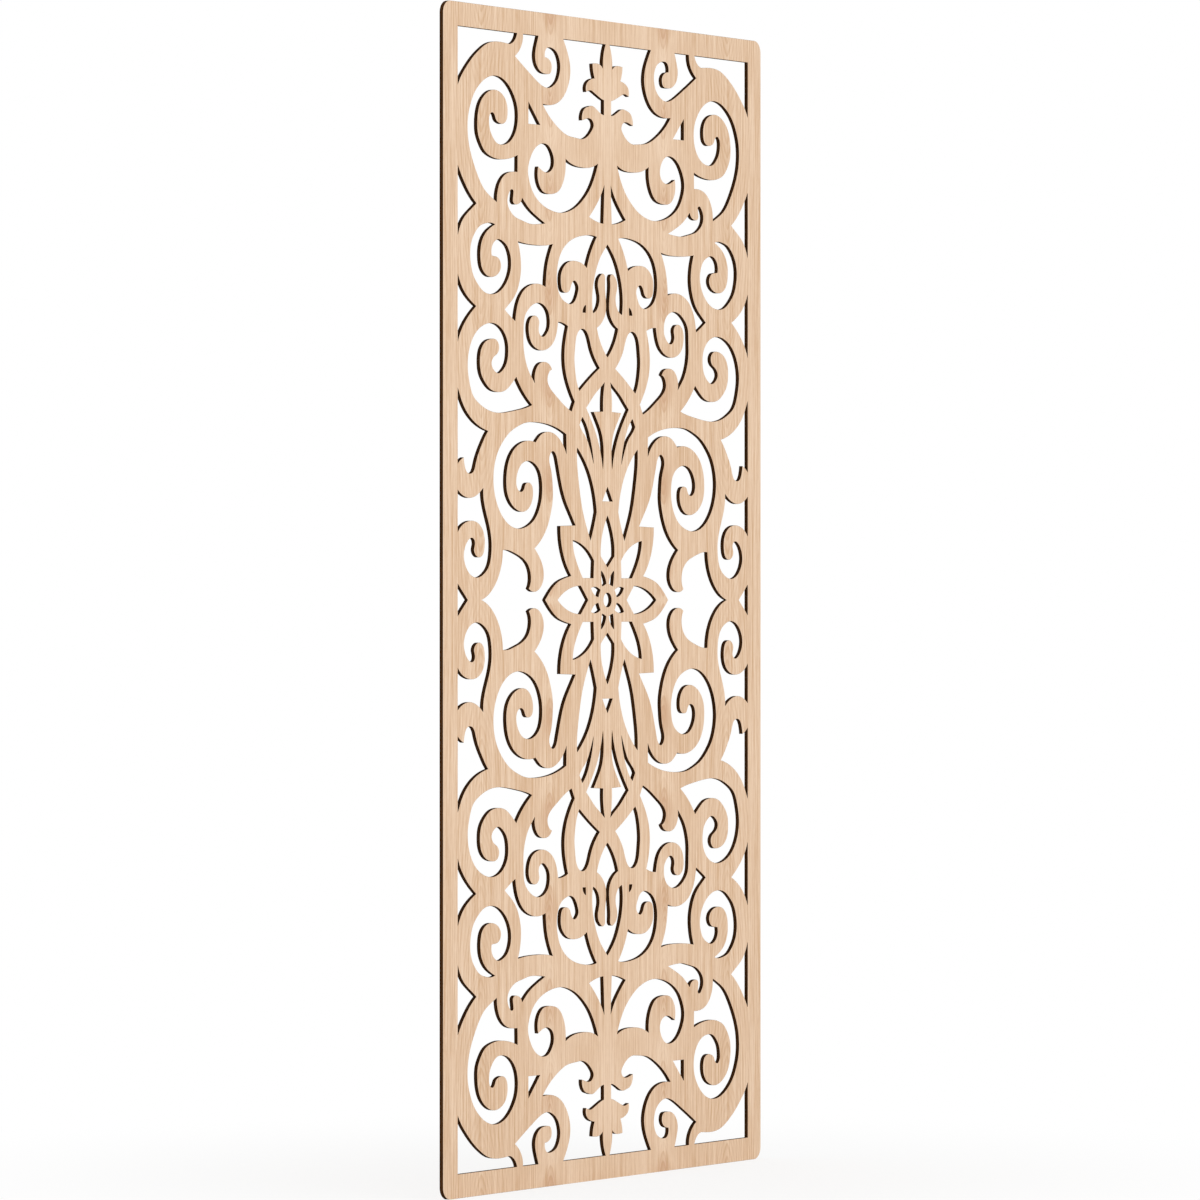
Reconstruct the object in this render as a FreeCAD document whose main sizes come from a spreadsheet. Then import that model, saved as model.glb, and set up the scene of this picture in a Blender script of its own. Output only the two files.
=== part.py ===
import FreeCAD, Part
import os

# Fretwork panel: a sheet of five-ply hardwood plywood with a scroll pattern cut right through it.
# Origin at the middle of the sheet, +Z up, show face towards -Y, millimetres.

# Driving dimensions
DIMENSIONS = {
    "panel_width": 898.525,
    "panel_height": 1812.925,
    "stile_width": 39.0,
    "rail_width": 36.5,
    "corner_radius": 19.05,
    "veneer_thickness": 0.7,
    "crossband_thickness": 1.4,
    "core_thickness": 1.75,
    "glue_thickness": 0.1,
    "centre_hole_radius": 11.3,
}

# Layers of the sheet from the show face to the back, each with the cell that holds its thickness
LAYERS = [
    ("front_veneer", "veneer_thickness"),
    ("front_face_glue_line", "glue_thickness"),
    ("front_crossband", "crossband_thickness"),
    ("front_core_glue_line", "glue_thickness"),
    ("core_ply", "core_thickness"),
    ("back_core_glue_line", "glue_thickness"),
    ("back_crossband", "crossband_thickness"),
    ("back_face_glue_line", "glue_thickness"),
    ("back_veneer", "veneer_thickness"),
]
# The show face is four matched leaves, spliced on the upright and the level centre line
SPLICED_LAYER = "front_veneer"
LEAVES = ["upper_left", "upper_right", "lower_left", "lower_right"]

# Openings of the upper right quarter, drawn about the middle of the panel as (x, z) and stretched
# to fill the field inside the border. An outline is a list of runs. Each run starts at a corner and
# ends at the first point of the next run, the last one at the first corner. A run of one point is
# straight, a run of two is an arc through the second point, a longer run is a smooth curve.
QUARTER_OPENINGS = {
    "crest_bay": [
        [(5.5, 870)],
        [(124, 870), (112, 850), (105.5, 833), (104.2, 822), (109.5, 800), (120, 784), (131, 774.5),
         (146, 767.8)],
        [(181, 766), (165, 750), (137, 731.5), (110, 721), (88, 718.8), (70, 718.2), (52, 726),
         (43, 734.5), (39.5, 741), (43.5, 748.5), (51, 751.3), (60.5, 750.2)],
        [(72, 747), (71.5, 756), (64.5, 766), (54, 769.8), (43, 771.4), (32, 767.5)],
        [(10.3, 759)],
        [(10.3, 782), (28, 788), (40.5, 793.2), (47.5, 795.2), (54, 794.2)],
        [(60.3, 792), (59, 805), (51.5, 811)],
        [(36.6, 814.8), (41, 826)],
        [(42.6, 837.6), (33, 838.5), (22, 837.4)],
        [(13.4, 831.8), (12.4, 850)],
    ],
    "corner_spandrel": [
        [(251, 870)],
        [(410, 870)],
        [(410, 780.6), (402.5, 792.8), (390.2, 806.6), (370, 825.3), (350, 839.2), (329, 849.5),
         (312, 853), (296, 853.6)],
        [(272, 852), (258.5, 858)],
    ],
    "hook_eye": [
        [(192.5, 870)],
        [(234.5, 870), (236, 858), (244, 844.5)],
        [(256.5, 834.5), (231, 819.5), (207, 806), (191, 797.6), (177, 792.6), (164, 791.8),
         (150, 797), (139.5, 806), (134.5, 816), (132.7, 827), (135.5, 838.5), (142.5, 848),
         (152, 852.8), (162, 854.3), (170.5, 852), (174.6, 845.5)],
        [(174.5, 838.2), (165, 836.6), (157.5, 830.6), (155.7, 822.5), (160, 814.5), (169, 812.7),
         (182, 813.8), (193, 819.5), (200, 829), (202, 841), (199, 853.5), (195.8, 862.2)],
    ],
    "great_scroll": [
        [(249.5, 682.8), (268, 677.2), (285, 674.5), (303, 673.8), (322, 677), (338, 684),
         (349, 696), (356.5, 710), (358.3, 726), (355.7, 744.5), (349, 759), (338, 770),
         (324, 777.3), (309, 779.3), (295, 776), (283.5, 768), (277.5, 757), (276.4, 746),
         (280.2, 733.8), (288.3, 728.8), (300.5, 729.5), (308.5, 734.4), (312.5, 741.5),
         (318.5, 744.2), (324.5, 740), (326.3, 729.5), (323.5, 717), (316.5, 707), (305, 698.3),
         (292, 696.6), (275.6, 700), (260.5, 711), (252, 725), (249, 741), (251.5, 759), (259, 773),
         (269, 784.5), (284, 795), (307, 800.8), (330, 797), (350, 786), (366, 770.5),
         (376.5, 752), (382.5, 733), (383.6, 715), (380, 692.5), (370, 668.5), (356, 645.5),
         (339, 626), (322, 615.8)],
        [(305.5, 608), (303.5, 626), (296, 640.5), (284, 651), (268, 656.3)],
        [(250, 657)],
    ],
    "small_triangle": [
        [(187.8, 732.9)],
        [(219.8, 732.9)],
        [(219.8, 766.8)],
    ],
    "wing_scroll": [
        [(26.9, 682.1), (47, 675), (70, 673.4), (94, 675.7)],
        [(117.6, 684.5), (118, 665), (124, 648), (136, 634), (150, 628.8), (165, 627.6),
         (180, 630.4), (190, 639.5), (194.7, 651), (195, 661)],
        [(193.4, 668.6), (186.5, 665), (179, 661.9), (170, 660.5), (159, 663.5), (152, 670.5),
         (150.4, 681), (155.5, 693), (166, 702.5), (178, 704.8), (193, 701.3), (206, 692),
         (215.5, 678.5), (220.8, 661), (217, 644.5), (207, 628), (191, 615), (172, 606.5),
         (150, 601.4), (129, 600.3), (108, 604), (86, 612.5), (67, 625), (50, 641), (36, 662)],
    ],
    "upper_edge_dart": [
        [(360.5, 603.5), (380, 619.7), (400, 643.8)],
        [(410, 659.2)],
        [(410, 552.8), (404.3, 566), (396, 577.8), (380, 590.6)],
    ],
    "stem_wedge": [
        [(8.9, 650)],
        [(12, 589), (32, 591.8)],
        [(51.4, 597.8), (40, 608.5), (24, 626)],
    ],
    "leaf_sliver": [
        [(174, 581.7), (200, 592.7), (218, 602.3), (229, 610.7)],
        [(237.2, 618.2), (242, 610.6), (250.5, 607.3), (258.5, 607.7), (262.3, 611.5), (261.9, 618),
         (261, 624), (261.4, 628), (264.8, 629.5), (271.7, 624.8), (276.5, 615), (275, 604),
         (267, 594.6), (256, 588), (238, 583.5), (218, 579.5), (197, 579.4)],
    ],
    "upper_ring": [
        [(310.5, 573.6), (323, 575.6), (337, 573.8), (350, 569.8), (363, 559.5), (372.5, 546),
         (376.8, 528), (375, 511), (368, 493.5), (355, 479.7), (340, 470), (323, 466.8),
         (305, 469.3), (288, 478.5), (275, 492.5), (268, 509), (269, 527), (278, 542), (290, 549),
         (301, 551.4), (311.5, 547.5), (318.3, 539.5), (320, 532)],
        [(319, 525.9), (310, 525), (302.5, 523.4), (296, 517.5), (294.2, 510), (298.5, 501.5),
         (309, 495), (321, 492.9), (335, 496), (345.5, 505.5), (350, 522), (348.3, 540.5),
         (339, 556.5), (326, 566.5)],
    ],
    "shoulder_curl": [
        [(30.5, 567.3), (44, 569), (65, 568), (85, 564.7), (103, 558.7), (120, 548.3),
         (133, 533.5), (140, 515.5), (141.8, 499), (138.5, 481.5), (128.5, 468), (116, 461.8),
         (104, 459.8), (92, 465), (85.3, 475), (82.2, 487), (86, 493), (93.5, 496.4),
         (100.5, 491.4), (105.4, 481.7), (116.7, 476.8), (127.2, 480.4), (131, 491.5), (130, 506),
         (121.5, 518), (108, 525.5), (92, 527.4), (74, 525)],
        [(58.5, 518), (47.7, 542.5)],
    ],
    "star_bay": [
        [(153, 550.8), (175, 547.4), (200, 546.9), (224, 547.7)],
        [(248.5, 550.6), (243.5, 537), (240.3, 520), (240.4, 504), (244, 489), (251, 474),
         (263, 460.3), (275, 451.3)],
        [(284, 444.5), (270, 435.7)],
        [(255.8, 428), (252.8, 444.5), (245.8, 461), (234.5, 474.5), (219, 483.4), (200, 487.7),
         (184, 486.8)],
        [(172.9, 483.8), (171.7, 500), (167.5, 520.5), (160, 538.5)],
    ],
    "lower_edge_dart": [
        [(361, 447), (380, 457.7), (396, 471.5), (404.2, 483)],
        [(410, 494.2)],
        [(410, 391.2), (404.5, 403.2), (396, 415.7), (381, 431.5)],
    ],
    "eyelet": [
        [(60.8, 460), (66.5, 456.5)],
        [(70.2, 447.9)],
        [(61.4, 447.9)],
    ],
    "leaf_bay": [
        [(111, 425), (124, 429.3)],
        [(138.2, 430.7), (141.3, 416.5), (149, 401), (163, 390), (181, 385.2), (200, 388.3),
         (212.5, 397), (218.8, 411), (219, 424), (213.5, 434), (203, 438.3), (194, 435.5),
         (190, 428.5), (191.8, 418), (187.5, 409), (180, 406.5), (171, 411), (163.3, 420.5),
         (161.8, 432), (166, 445.5), (177, 454.8), (191, 458.2), (207, 455), (220, 447),
         (230, 435), (233, 414), (233.3, 394), (228.5, 371), (218.2, 351.6), (208.5, 340.8)],
        [(202, 333.8), (200.8, 352.5), (191.5, 363.7), (176, 367.7), (163, 364.7)],
        [(155.2, 356.5), (165, 349), (167.3, 339), (161, 328.5), (145, 317), (122, 302.7)],
        [(101, 293)],
        [(92.3, 308.5), (108, 331.5), (117, 351.5), (121.2, 378), (118.3, 402)],
    ],
    "lower_ring": [
        [(210, 300.3), (222, 309), (238, 323.5)],
        [(253, 342.3), (267, 330.3), (283, 320.7), (302, 317.8), (322, 321.3), (337.2, 331.5),
         (348, 345.5), (351.2, 363), (347.5, 382), (337, 393.3), (321, 398.6), (305, 396.5),
         (299, 386.5), (303, 377.5), (314, 370.7), (319.6, 361), (313.5, 351.5), (302, 346.7),
         (289, 352.3), (279, 363.5), (275.2, 379), (276.5, 394), (284.5, 408), (300, 419),
         (320, 422.8), (342, 418.3), (360, 408), (373, 393), (381, 374.5), (383.3, 355),
         (379, 332.5), (368.5, 310.5), (353, 299.5), (333, 291), (308, 286.5), (280, 287.5),
         (250, 291.7), (229, 295.3)],
    ],
    "petal_lobe": [
        [(22, 362.7), (34, 375), (45, 391.5), (53.5, 411), (61, 419.5), (70, 422.3), (80, 419),
         (87, 410), (91, 392), (92.7, 377), (91, 358), (86.5, 340)],
        [(79, 325.5), (64, 336.3), (45, 349)],
    ],
    "trumpet_side": [
        [(7.8, 341.2), (21.6, 331), (35.3, 321.6), (48.4, 309.8)],
        [(59.9, 299.5), (45, 279.5), (29.5, 254.5), (20, 232)],
        [(12.9, 203.8), (11.3, 228), (16, 258), (27, 277)],
        [(39, 293.7)],
        [(12.5, 295), (12.3, 318)],
    ],
    "edge_bay": [
        [(410, 322)],
        [(410, 206.7), (402.5, 212.6)],
        [(394, 216.5), (390.8, 202.7), (384.8, 193.9), (377, 192), (369.5, 194.5), (361.5, 209.5),
         (347, 235.5)],
        [(329, 257.7), (352.2, 264.3), (376, 277.2), (396, 297), (404, 310.4)],
    ],
    "inner_sliver": [
        [(71, 285), (59.5, 272.5), (48.5, 250.4), (42.6, 232)],
        [(39.2, 211.9), (49, 235), (61.8, 254.8), (71.7, 263.7)],
        [(78.5, 272.8)],
    ],
    "side_scroll": [
        [(115.9, 257), (137, 265), (160, 270.5), (185, 273.4), (208, 274), (230, 272), (250, 266),
         (270, 257), (288, 243), (302, 227), (311, 208), (314.6, 186), (311.5, 163.5),
         (302, 142.5), (286, 124.3), (266, 113), (243, 109.7), (222, 114), (203, 124.5),
         (190, 141), (183.5, 159), (182.8, 179), (188.5, 197.5), (202, 209.5), (220, 214),
         (237, 209.5), (248.5, 197), (252.8, 181.5), (249, 170.5), (240, 166.3), (232.5, 170),
         (228, 178), (219, 180.7), (210.6, 177), (207.2, 166), (210.5, 151), (220, 140.3),
         (235, 135.5), (253, 139), (268, 149), (278, 165), (280.2, 184), (275.5, 208.5),
         (263, 227.5), (246, 239), (225, 244.8)],
        [(200.5, 243), (194, 249), (186.8, 254.5), (172, 259.5), (152, 258.3), (135, 250)],
        [(114.9, 226)],
    ],
    "long_slot": [
        [(85.5, 237), (85.3, 214), (79.5, 178), (70, 140), (58.5, 113.5)],
        [(48, 92.8), (38.5, 115)],
        [(30.8, 137.5), (38, 170), (52, 200), (70, 223)],
    ],
    "edge_hook": [
        [(342, 171), (357, 160.5), (378, 155), (396, 158.5)],
        [(410, 167)],
        [(410, 102.8), (397, 114.3), (378, 120.3), (358, 118), (345, 109.3), (338.3, 95),
         (338, 82), (343, 69), (353, 64.8), (363, 68.8), (366.8, 76.5), (364.4, 86), (367, 92.3),
         (373, 94.4), (382.5, 90), (391, 78.5), (393.5, 66), (388, 50.5), (376, 38.7),
         (358, 34.2), (340, 40), (327, 51.5), (320.7, 70), (320.2, 91), (327, 115.5),
         (337.5, 140.5)],
    ],
    "slanted_petal": [
        [(97.5, 93), (78, 88.5), (58, 79)],
        [(38.2, 61)],
        [(39.8, 34.2)],
        [(69.5, 34.2), (84, 54.5), (94.5, 76)],
    ],
    "inner_petal_steep": [
        [(18.4, 46), (9, 38)],
        [(3.8, 25.6), (9.2, 23.2)],
        [(15.3, 21.5), (17.4, 33)],
    ],
    "inner_petal_flat": [
        [(20, 15.5), (31, 20)],
        [(46.3, 18.6), (38.4, 9.3)],
        [(25.5, 4.6), (23.4, 10.4)],
    ],
}

# Right halves of the openings that straddle the upright centre line, from one end to the other
UPRIGHT_OPENINGS = {
    "centre_arch": [
        [(0, 557), (9, 548), (18, 538.5), (28, 523.5), (35, 508), (40.5, 490), (42.9, 468)],
        [(40.7, 448), (32, 452.5), (24, 464.5), (23.6, 477), (27.5, 490), (25.3, 502),
         (19, 508.3), (13.5, 510.8), (8, 508), (7, 499), (7, 487), (4.2, 467), (5.8, 448.5),
         (13, 437)],
        [(30, 425.5), (24, 410.5), (13, 393.5)],
        [(0, 380)],
    ],
    "kite": [
        [(0, 177.5)],
        [(14.5, 154.5)],
        [(0, 154.5)],
    ],
    "upright_petal": [
        [(0, 132.5), (10, 114), (17.3, 93)],
        [(19, 68.5)],
        [(0, 51)],
    ],
}

# Upper halves of the openings that straddle the level centre line, from one end to the other
LEVEL_OPENINGS = {
    "side_bay": [
        [(174, 0), (158, 15.5), (140, 27.5), (122, 33.5)],
        [(102, 37.5), (117.5, 57.5), (128.5, 83)],
        [(132.4, 114.8)],
        [(89.8, 116), (103.2, 133.6), (120, 158), (132, 187.5), (140, 214), (146, 226.5),
         (152.5, 230.2), (159.5, 226), (162.6, 217), (158, 202.5), (153.3, 178), (152.5, 160),
         (158, 135), (169.5, 110.5), (185, 92.5)],
        [(203, 79.5), (188.8, 65.5), (179.2, 48.5), (179, 31), (189, 17.5), (203, 12.6)],
        [(219, 17.5), (213.3, 34), (219.5, 52), (234, 63.5), (256, 71.4), (274, 76)],
        [(289.2, 76.3), (293.5, 51.5), (306, 28), (324, 10.5)],
        [(347.2, 0)],
    ],
    "level_petal": [
        [(54.3, 0)],
        [(75.3, 22.2), (98, 19.7), (120, 12.3)],
        [(139.5, 0)],
    ],
    "edge_triangle": [
        [(383, 0), (396, 11.7)],
        [(410, 24.8)],
        [(410, 0)],
    ],
}


# A long curve is cut into edges of this many spans, which carry on smoothly from each other
SPANS_PER_EDGE = 8


def drawn_reach(axis):
    # Largest coordinate of the drawing along one axis: 0 level, 1 upright
    reach = 0.0
    for outline in QUARTER_OPENINGS.values():
        for run in outline:
            for point in run:
                reach = max(reach, point[axis])
    return reach


def edges_through(points):
    # Straight edge, arc or smooth curve, by the number of points
    if len(points) == 2:
        return [Part.LineSegment(points[0], points[1]).toShape()]
    if len(points) == 3:
        return [Part.Arc(points[0], points[1], points[2]).toShape()]
    curve = Part.BSplineCurve()
    curve.interpolate(points)
    knots = curve.getKnots()
    cuts = knots[:-1:SPANS_PER_EDGE] + [knots[-1]]
    edges = []
    for start, end in zip(cuts, cuts[1:]):
        stretch = curve.copy()
        stretch.segment(start, end)
        edges.append(stretch.toShape())
    return edges


def edges_along(runs, last_point, place):
    # Edges of the runs in order, each run carried on to the corner that follows it
    edges = []
    for index, run in enumerate(runs):
        following = runs[index + 1][0] if index + 1 < len(runs) else last_point
        edges += edges_through([place(x, z) for x, z in run + [following]])
    return edges


def joined(edges):
    return Part.Wire(Part.__sortEdges__(edges))


def fret_wires(size):
    # Closed outlines of every opening, at their places in the panel
    field_half_width = size("panel_width") / 2 - size("stile_width")
    field_half_height = size("panel_height") / 2 - size("rail_width")
    stretch_x = field_half_width / drawn_reach(0)
    stretch_z = field_half_height / drawn_reach(1)

    def placer(side_x, side_z):
        return lambda x, z: FreeCAD.Vector(side_x * x * stretch_x, 0, side_z * z * stretch_z)

    wires = []
    for side_x in (1, -1):
        for side_z in (1, -1):
            place = placer(side_x, side_z)
            for outline in QUARTER_OPENINGS.values():
                wires.append(joined(edges_along(outline, outline[0][0], place)))
    for side in (1, -1):
        for half in UPRIGHT_OPENINGS.values():
            right_edges = edges_along(half[:-1], half[-1][0], placer(1, side))
            left_edges = edges_along(half[:-1], half[-1][0], placer(-1, side))
            wires.append(joined(right_edges + left_edges))
        for half in LEVEL_OPENINGS.values():
            upper_edges = edges_along(half[:-1], half[-1][0], placer(side, 1))
            lower_edges = edges_along(half[:-1], half[-1][0], placer(side, -1))
            wires.append(joined(upper_edges + lower_edges))
    through_axis = FreeCAD.Vector(0, 1, 0)
    centre_hole = Part.Circle(FreeCAD.Vector(0, 0, 0), through_axis, size("centre_hole_radius"))
    wires.append(Part.Wire(centre_hole.toShape()))
    return wires


def border_wire(size):
    # Outer edge of the panel, a rectangle with rounded corners
    half_width = size("panel_width") / 2
    half_height = size("panel_height") / 2
    radius = size("corner_radius")
    edges = []
    for side in (1, -1):
        edges.append(Part.LineSegment(
            FreeCAD.Vector(radius - half_width, 0, side * half_height),
            FreeCAD.Vector(half_width - radius, 0, side * half_height)).toShape())
        edges.append(Part.LineSegment(
            FreeCAD.Vector(side * half_width, 0, radius - half_height),
            FreeCAD.Vector(side * half_width, 0, half_height - radius)).toShape())
        for side_z in (1, -1):
            centre = FreeCAD.Vector(side * (half_width - radius), 0, side_z * (half_height - radius))
            diagonal = FreeCAD.Vector(side, 0, side_z).normalize() * radius
            edges.append(Part.Arc(
                centre + FreeCAD.Vector(side * radius, 0, 0),
                centre + diagonal,
                centre + FreeCAD.Vector(0, 0, side_z * radius)).toShape())
    return joined(edges)


def make_sheet(doc):
    sheet = doc.addObject("Spreadsheet::Sheet", "Dimensions")
    for row, (alias, value) in enumerate(DIMENSIONS.items(), start=1):
        sheet.set(f"A{row}", alias)
        sheet.set(f"B{row}", str(value))
        sheet.setAlias(f"B{row}", alias)
    doc.recompute()
    return sheet


def make_template(doc, sheet):
    # The cut face that every layer shares
    template = doc.addObject("Part::Feature", "fret_template")

    def size(alias):
        return float(sheet.get(alias))

    outlines = Part.Compound([border_wire(size)] + fret_wires(size))
    template.Shape = Part.makeFace(outlines, "Part::FaceMakerBullseye")
    return template


def make_leaf_template(doc, template, leaf):
    # The quarter of the cut face that lies between the two splices
    quarter = doc.addObject("Part::Plane", f"{leaf}_quarter")
    quarter.setExpression("Length", "Dimensions.panel_width / 2")
    quarter.setExpression("Width", "Dimensions.panel_height / 2")
    quarter.Placement.Rotation = FreeCAD.Rotation(FreeCAD.Vector(1, 0, 0), 90)
    if "left" in leaf:
        quarter.setExpression(".Placement.Base.x", "-Dimensions.panel_width / 2")
    if "lower" in leaf:
        quarter.setExpression(".Placement.Base.z", "-Dimensions.panel_height / 2")
    leaf_template = doc.addObject("Part::Common", f"{leaf}_leaf_template")
    leaf_template.Base = template
    leaf_template.Tool = quarter
    return leaf_template


def make_layer(doc, name, face, thickness_cell, front_expression):
    layer = doc.addObject("Part::Extrusion", name)
    layer.Label = name
    layer.Base = face
    layer.DirMode = "Custom"
    layer.Dir = FreeCAD.Vector(0, 1, 0)
    layer.Solid = True
    layer.setExpression("LengthFwd", f"Dimensions.{thickness_cell}")
    layer.setExpression(".Placement.Base.y", front_expression)
    return layer


def make_layers(doc, template):
    # Layers stacked from the show face to the back, centred on the origin
    cells = [f"Dimensions.{cell}" for name, cell in LAYERS]
    show_face = f"-({' + '.join(cells)}) / 2"
    layers = []
    for index, (name, cell) in enumerate(LAYERS):
        front_expression = " + ".join([show_face] + cells[:index])
        if name == SPLICED_LAYER:
            for leaf in LEAVES:
                face = make_leaf_template(doc, template, leaf)
                layers.append(make_layer(doc, f"{name}_{leaf}", face, cell, front_expression))
        else:
            layers.append(make_layer(doc, name, template, cell, front_expression))
    return layers


def check_and_export(doc, layers):
    for item in doc.Objects:
        if "Invalid" in item.State or "Error" in item.State:
            raise RuntimeError(f"{item.Label} failed: {item.State}")
    for layer in layers:
        if layer.Shape.isNull() or not layer.Shape.isValid() or len(layer.Shape.Solids) != 1:
            raise RuntimeError(f"{layer.Label} is not one valid solid")
    os.makedirs("parts", exist_ok=True)
    for layer in layers:
        layer.Shape.exportStep(f"parts/{layer.Label}.step")
        box = layer.Shape.BoundBox
        print(f"{layer.Label}: {layer.Shape.Volume:.1f} mm3, y {box.YMin:.3f} to {box.YMax:.3f}")


def main():
    doc = FreeCAD.newDocument("FretworkPanel")
    sheet = make_sheet(doc)
    template = make_template(doc, sheet)
    layers = make_layers(doc, template)
    doc.recompute()
    check_and_export(doc, layers)


main()
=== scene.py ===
import math

import bpy
import numpy as np
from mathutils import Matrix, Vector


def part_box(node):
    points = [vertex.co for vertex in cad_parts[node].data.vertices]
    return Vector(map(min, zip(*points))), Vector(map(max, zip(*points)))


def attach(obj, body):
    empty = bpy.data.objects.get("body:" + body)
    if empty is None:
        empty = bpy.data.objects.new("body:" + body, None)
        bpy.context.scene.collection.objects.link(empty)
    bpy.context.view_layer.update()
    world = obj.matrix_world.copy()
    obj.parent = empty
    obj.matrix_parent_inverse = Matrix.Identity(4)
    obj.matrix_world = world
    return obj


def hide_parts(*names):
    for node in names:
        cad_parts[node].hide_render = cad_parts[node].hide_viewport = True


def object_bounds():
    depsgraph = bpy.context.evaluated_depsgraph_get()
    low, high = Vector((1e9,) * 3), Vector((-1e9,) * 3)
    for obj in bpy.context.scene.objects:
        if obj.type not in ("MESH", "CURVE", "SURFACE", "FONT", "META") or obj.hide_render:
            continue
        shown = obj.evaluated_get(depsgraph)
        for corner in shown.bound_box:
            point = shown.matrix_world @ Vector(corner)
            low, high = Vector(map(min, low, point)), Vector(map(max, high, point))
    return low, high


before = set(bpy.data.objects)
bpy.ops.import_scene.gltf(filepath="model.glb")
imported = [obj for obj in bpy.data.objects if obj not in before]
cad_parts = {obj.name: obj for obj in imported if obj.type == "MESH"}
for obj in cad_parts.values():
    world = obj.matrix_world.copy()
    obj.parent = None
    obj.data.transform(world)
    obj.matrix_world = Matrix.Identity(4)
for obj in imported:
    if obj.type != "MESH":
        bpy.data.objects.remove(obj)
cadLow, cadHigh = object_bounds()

print("frame: loaded", len(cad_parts), "layers of the panel")

quarterTurn = math.radians(90)
noiseMiddle = 0.5    # mean level of a noise


def toLinear(red, green, blue):
    # screen colour, 0 to 255, into the linear colour that a shader socket takes
    shares = [channel / 255 for channel in (red, green, blue)]
    return tuple(s / 12.92 if s <= 0.04045 else ((s + 0.055) / 1.055) ** 2.4 for s in shares) + (1.0,)


# Nodes that the trees below share

def addNode(tree, kind, inputs=None, **options):
    node = tree.nodes.new(kind)
    for option, value in options.items():
        setattr(node, option, value)
    for name, value in (inputs or {}).items():
        if isinstance(value, bpy.types.NodeSocket):
            tree.links.new(value, node.inputs[name])
        else:
            node.inputs[name].default_value = value
    return node


def calc(tree, operation, first, second=None, third=None):
    inputs = {index: value for index, value in enumerate((first, second, third)) if value is not None}
    return addNode(tree, "ShaderNodeMath", inputs, operation=operation).outputs[0]


def onAxes(tree, vector):
    return addNode(tree, "ShaderNodeSeparateXYZ", {0: vector}).outputs


def fromAxes(tree, inputs):
    return addNode(tree, "ShaderNodeCombineXYZ", inputs).outputs[0]


def stretched(tree, vector, stretch):
    # each axis by its own amount
    inputs = {0: vector, 1: stretch}
    return addNode(tree, "ShaderNodeVectorMath", inputs, operation="MULTIPLY").outputs[0]


def scaled(tree, vector, amount):
    # all axes by one amount
    inputs = {0: vector, "Scale": amount}
    return addNode(tree, "ShaderNodeVectorMath", inputs, operation="SCALE").outputs[0]


def mapRange(tree, value, start, end, low=0.0, high=1.0, kind="LINEAR"):
    inputs = {"Value": value, "From Min": start, "From Max": end, "To Min": low, "To Max": high}
    return addNode(tree, "ShaderNodeMapRange", inputs, interpolation_type=kind).outputs[0]


def noise(tree, vector, stretch, detail=2.0, roughness=0.5):
    inputs = {
        "Vector": stretched(tree, vector, stretch), "Scale": 1.0,
        "Detail": detail, "Roughness": roughness,
    }
    return addNode(tree, "ShaderNodeTexNoise", inputs).outputs[0]


def sumEffects(tree, start, effects):
    # each effect moves the value by its weight, up or down from its middle
    total = start
    for effect, middle, weight in effects:
        total = calc(tree, "MULTIPLY_ADD", calc(tree, "SUBTRACT", effect, middle), weight, total)
    return total


def mixColour(tree, factor, first, second):
    inputs = {0: factor, 6: first, 7: second}
    return addNode(tree, "ShaderNodeMix", inputs, data_type="RGBA").outputs[2]


# Outlines of the cut sheet, read from the frame and drawn on smoothly

outlineLook = {
    "frontSlack": 0.00001,   # metres, a point this near to the front plane lies in it
    "decimals": 6,           # of a metre, points that agree to these are one
    "shortest": 0.00005,     # metres, a shorter run is left out
    "cornerTurn": 0.42,      # radians, a sharper turn than this is a real corner
    "longRun": 2.5,          # a run this many times longer than its neighbour is straight
    "stepsPerRun": 2,        # drawn steps between two points of the frame
}


def traceLoops(nodeName):
    # rims of a layer's front face as seen from the front, with the wood on the left of each
    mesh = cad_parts[nodeName].data
    places = np.empty(len(mesh.vertices) * 3, np.float32)
    mesh.vertices.foreach_get("co", places)
    places = places.reshape(-1, 3)
    corners = np.empty(len(mesh.loops), np.int32)
    mesh.loops.foreach_get("vertex_index", corners)
    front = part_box(nodeName)[0].y + outlineLook["frontSlack"]
    facing = (places[corners, 1] < front).reshape(-1, 3).all(axis=1)
    rounded = np.round(places[:, [0, 2]], outlineLook["decimals"])
    flat, merged = np.unique(rounded, axis=0, return_inverse=True)
    triangles = merged.ravel()[corners].reshape(-1, 3)[facing]
    sides = {(a, b) for tri in triangles.tolist() for a, b in zip(tri, tri[1:] + tri[:1])}
    following = {a: b for a, b in sorted(sides) if (b, a) not in sides}
    loops = []
    while following:
        start, onward = following.popitem()
        rim = [start]
        while onward != start:
            rim.append(onward)
            onward = following.pop(onward)
        points = flat[rim]
        apart = np.linalg.norm(points - np.roll(points, 1, axis=0), axis=1)
        loops.append(points[apart > outlineLook["shortest"]])
    return loops


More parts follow.
